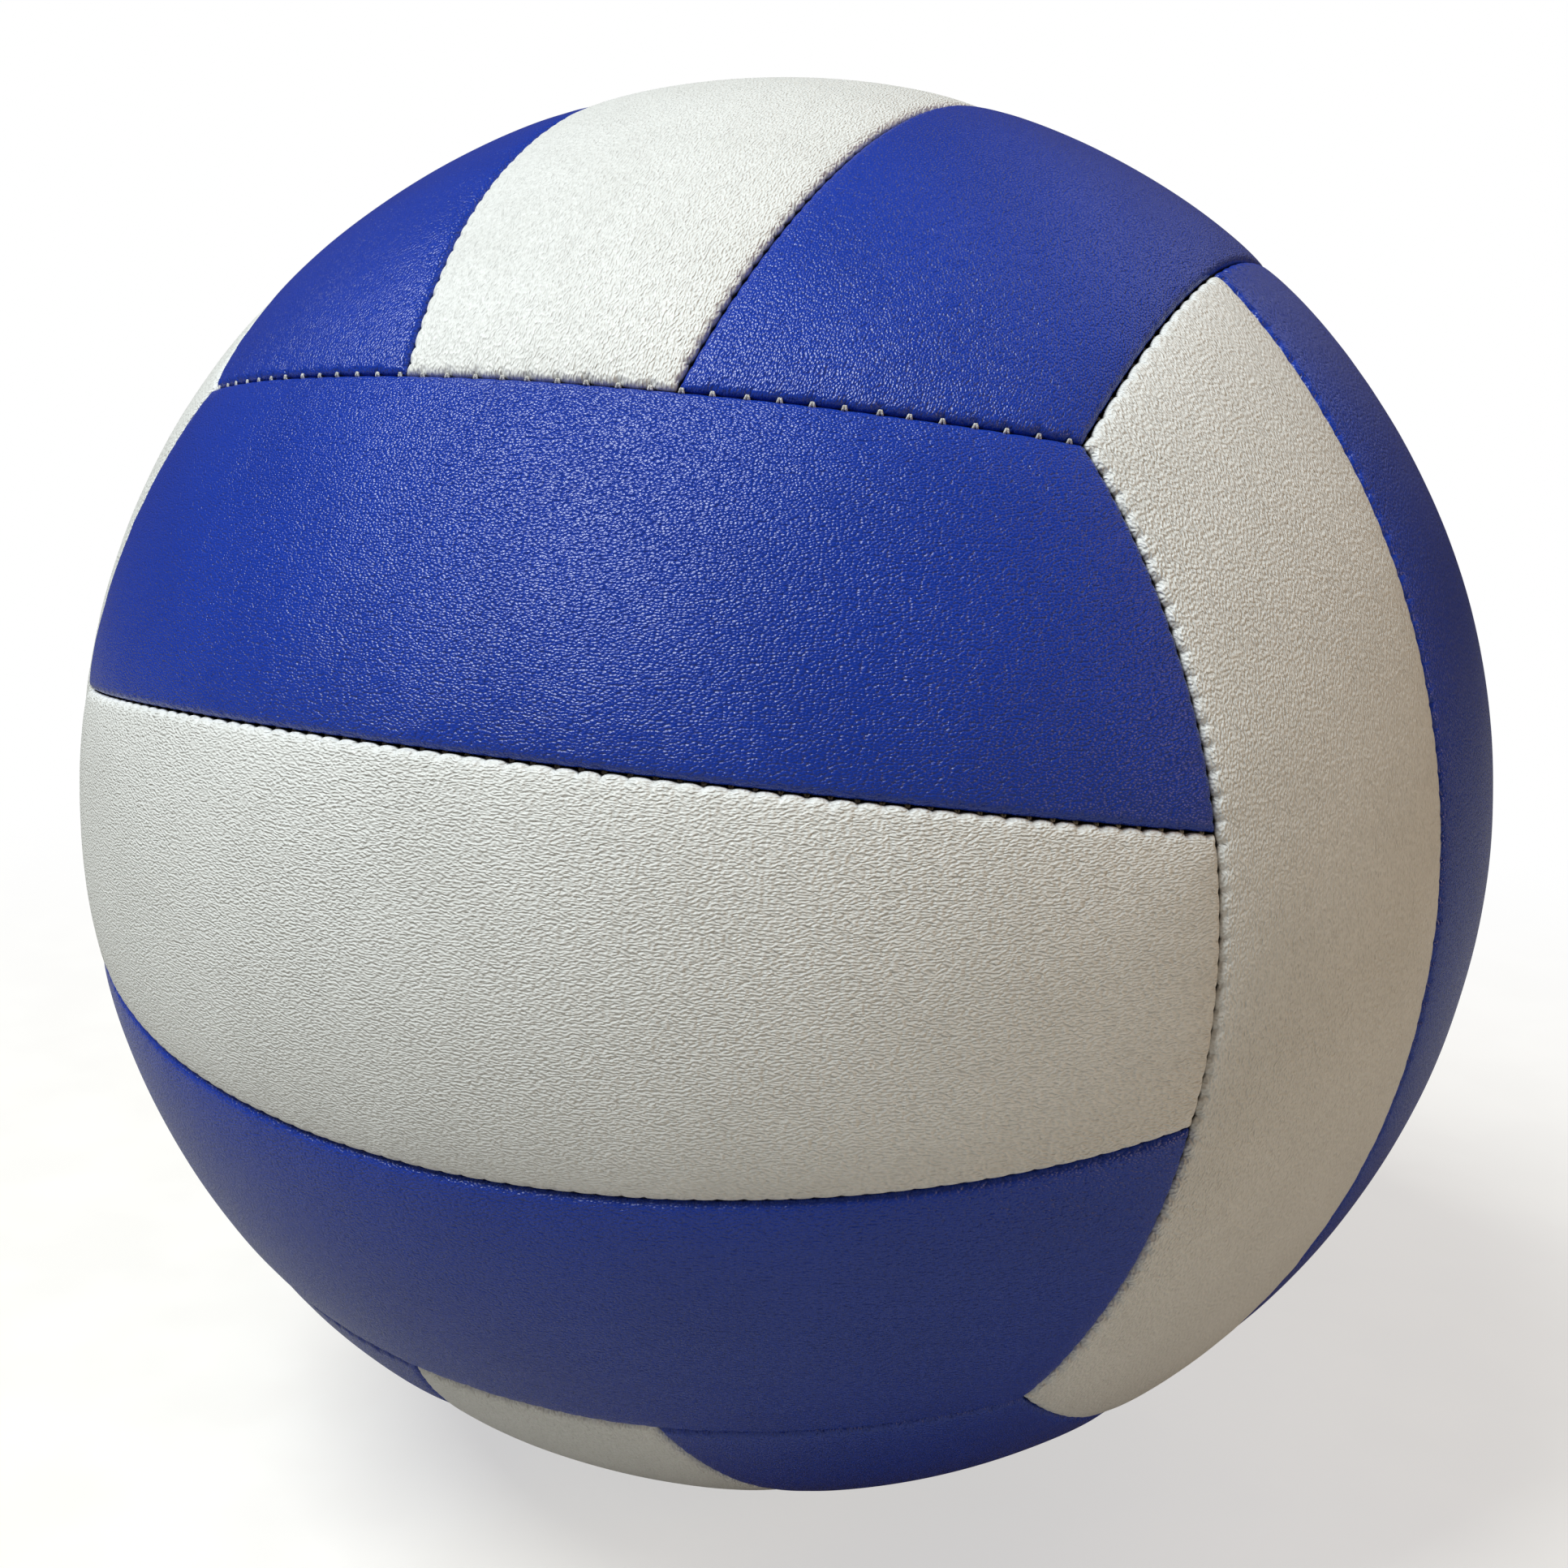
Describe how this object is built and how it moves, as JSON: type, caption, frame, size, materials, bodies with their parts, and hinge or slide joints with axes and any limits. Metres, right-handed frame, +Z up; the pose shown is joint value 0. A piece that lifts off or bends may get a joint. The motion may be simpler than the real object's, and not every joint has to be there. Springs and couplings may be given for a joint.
{
  "type": "volleyball",
  "caption": "Indoor volleyball of padded leather-look panels in strips, sewn over an air bladder, with a needle valve in the middle of the back face.",
  "frame": {"origin": "centre of the ball", "axes": "+Z up through the middle of the top face, -Y out of the middle of the front face, +Y out through the valve, +X through the middle of the right face"},
  "size_m": [0.21, 0.2099, 0.21],
  "materials": {
    "blue_cover": "fine grain, satin",
    "white_cover": "fine grain, satin",
    "foam": "matte, open cells",
    "lining": "woven, matte",
    "thread": "twisted, waxed",
    "bladder": "matte",
    "valve_rubber": "matte",
    "valve_core_rubber": "satin"
  },
  "bodies": {
    "root": {"back_foam_pads": "foam", "back_left_edge_thread": "thread", "back_lining": "lining", "back_lower_panel": "blue_cover", "back_middle_panel": "white_cover", "back_right_edge_thread": "thread", "back_strip_threads": "thread", "back_upper_panel": "blue_cover", "bladder": "bladder", "bottom_back_edge_thread": "thread", "bottom_foam_pads": "foam", "bottom_front_edge_thread": "thread", "bottom_left_panel": "blue_cover", "bottom_lining": "lining", "bottom_middle_panel": "white_cover", "bottom_right_panel": "blue_cover", "bottom_strip_threads": "thread", "front_foam_pads": "foam", "front_left_edge_thread": "thread", "front_lining": "lining", "front_lower_panel": "blue_cover", "front_middle_panel": "white_cover", "front_right_edge_thread": "thread", "front_strip_threads": "thread", "front_upper_panel": "blue_cover", "left_back_panel": "white_cover", "left_bottom_edge_thread": "thread", "left_foam_pads": "foam", "left_front_panel": "white_cover", "left_lining": "lining", "left_middle_panel": "blue_cover", "left_strip_threads": "thread", "left_top_edge_thread": "thread", "right_back_panel": "white_cover", "right_bottom_edge_thread": "thread", "right_foam_pads": "foam", "right_front_panel": "white_cover", "right_lining": "lining", "right_middle_panel": "blue_cover", "right_strip_threads": "thread", "right_top_edge_thread": "thread", "top_back_edge_thread": "thread", "top_foam_pads": "foam", "top_front_edge_thread": "thread", "top_left_panel": "blue_cover", "top_lining": "lining", "top_middle_panel": "white_cover", "top_right_panel": "blue_cover", "top_strip_threads": "thread", "valve_body": "valve_rubber", "valve_core": "valve_core_rubber"}
  },
  "joints": []
}
